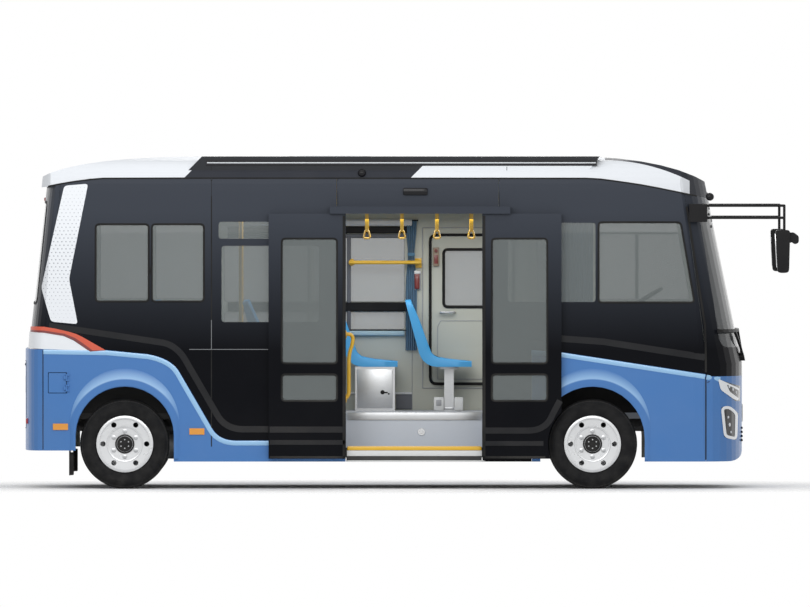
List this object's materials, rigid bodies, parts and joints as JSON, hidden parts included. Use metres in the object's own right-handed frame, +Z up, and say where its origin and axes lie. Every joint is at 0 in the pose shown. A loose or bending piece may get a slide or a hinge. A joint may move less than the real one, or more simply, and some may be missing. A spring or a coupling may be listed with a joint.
{
  "type": "electric minibus",
  "caption": "Small electric city bus with a rounded nose and tail, swept two-tone sides, twin sliding entrance leaves slid open, moulded seats and grab rails.",
  "frame": {"origin": "on the ground, in the middle of the whole length from tail to mirrors and midway between the sides", "axes": "+X to the front, +Y to the driver's left, +Z up; the entrance is on the -Y side"},
  "size_m": [6.4452, 2.196, 2.764],
  "materials": {
    "chassis_black": "satin black",
    "spring_steel": "dull black",
    "cast_axle": "painted casting",
    "motor_alloy": "cast",
    "battery_case": "matt dark grey",
    "floor_grey": "vinyl floor covering",
    "white_paint": "gloss",
    "dark_paint": "gloss",
    "blue_paint": "gloss",
    "black_trim": "satin",
    "white_trim": "gloss",
    "screen_glass": "clear",
    "window_glass": "lightly tinted",
    "lamp_lens": "clear lens",
    "red_lens": "clear red",
    "amber_lens": "clear amber",
    "black_rubber": "matt",
    "seat_fabric": "woven",
    "seat_blue": "satin moulded",
    "bare_steel": "brushed",
    "yellow_tube": "gloss",
    "curtain_cloth": "woven",
    "rim_silver": "satin silver",
    "tyre": "matt"
  },
  "bodies": {
    "bus": {"chassis_frame": "chassis_black", "leaf_springs": "spring_steel", "front_axle": "cast_axle", "rear_axle": "cast_axle", "drive_motor": "motor_alloy", "battery_pack": "battery_case", "floor": "floor_grey", "wheel_boxes": "floor_grey", "entrance_step": "floor_grey", "roof": "white_paint", "roof_fairings": "black_trim", "right_rear_panel": "dark_paint", "right_mid_panel": "dark_paint", "right_front_panel": "dark_paint", "door_header": "dark_paint", "left_rear_panel": "dark_paint", "left_mid_panel": "dark_paint", "left_front_panel": "dark_paint", "right_quarters": "blue_paint", "left_quarters": "blue_paint", "rear_wall": "dark_paint", "rear_bumper": "blue_paint", "front_mask": "dark_paint", "front_bumper": "blue_paint", "windscreen": "screen_glass", "rear_glass": "window_glass", "right_glass": "window_glass", "left_glass": "window_glass", "door_leaf_rear": "dark_paint", "door_leaf_front": "dark_paint", "door_glass": "window_glass", "pillar_grilles": "white_trim", "front_lamps": "lamp_lens", "tail_lamps": "red_lens", "side_markers": "amber_lens", "mirrors": "black_trim", "wipers": "black_trim", "mud_flaps": "black_rubber", "dashboard": "black_trim", "driver_seat": "seat_fabric", "seat_shells": "seat_blue", "seat_pedestals": "bare_steel", "grab_rails": "yellow_tube", "curtain_left": "curtain_cloth", "curtain_right": "curtain_cloth"},
    "steering": {"steering_wheel": "black_trim"},
    "exit_door": {"emergency_door": "dark_paint", "emergency_glass": "window_glass"},
    "charge_flap": {"charge_lid": "blue_paint"},
    "steer_left": {"knuckle_left": "cast_axle"},
    "steer_right": {"knuckle_right": "cast_axle"},
    "wheel_fl": {"wheel_front_left": "rim_silver", "tyre_front_left": "tyre"},
    "wheel_fr": {"wheel_front_right": "rim_silver", "tyre_front_right": "tyre"},
    "wheel_rl": {"wheel_rear_left": "rim_silver", "tyre_rear_left": "tyre"},
    "wheel_rr": {"wheel_rear_right": "rim_silver", "tyre_rear_right": "tyre"}
  },
  "joints": [
    {"name": "steer_left_turn", "type": "hinge", "parent": "bus", "child": "steer_left", "pos_m": [1.50768, 0.8475, 0.372], "axis": [0, 0, 1], "range_deg": [-30, 30]},
    {"name": "steer_right_turn", "type": "hinge", "parent": "bus", "child": "steer_right", "pos_m": [1.50768, -0.8475, 0.372], "axis": [0, 0, 1], "range_deg": [-30, 30]},
    {"name": "steering_wheel_turn", "type": "hinge", "parent": "bus", "child": "steering", "pos_m": [1.91261, 0.416, 1.54314], "axis": [-0.5, 0, 0.866], "range_deg": [-480, 480]},
    {"name": "exit_door_swing", "type": "hinge", "parent": "bus", "child": "exit_door", "pos_m": [0.85676, 1.058, 1.382], "axis": [0, 0, -1], "range_deg": [0, 95]},
    {"name": "charge_flap_swing", "type": "hinge", "parent": "bus", "child": "charge_flap", "pos_m": [-2.86682, -1.053, 0.88116], "axis": [0, 0, 1], "range_deg": [0, 110]},
    {"name": "wheel_fl_spin", "type": "hinge", "parent": "steer_left", "child": "wheel_fl", "pos_m": [1.50768, 0.9175, 0.372], "axis": [0, 1, 0], "continuous": true},
    {"name": "wheel_fr_spin", "type": "hinge", "parent": "steer_right", "child": "wheel_fr", "pos_m": [1.50768, -0.9175, 0.372], "axis": [0, 1, 0], "continuous": true},
    {"name": "wheel_rl_spin", "type": "hinge", "parent": "bus", "child": "wheel_rl", "pos_m": [-2.38402, 0.9175, 0.372], "axis": [0, 1, 0], "continuous": true},
    {"name": "wheel_rr_spin", "type": "hinge", "parent": "bus", "child": "wheel_rr", "pos_m": [-2.38402, -0.9175, 0.372], "axis": [0, 1, 0], "continuous": true}
  ],
  "couplings": [
    {"joint": "steer_right_turn", "follows": "steer_left_turn", "ratio": 1},
    {"joint": "steering_wheel_turn", "follows": "steer_left_turn", "ratio": 16}
  ]
}
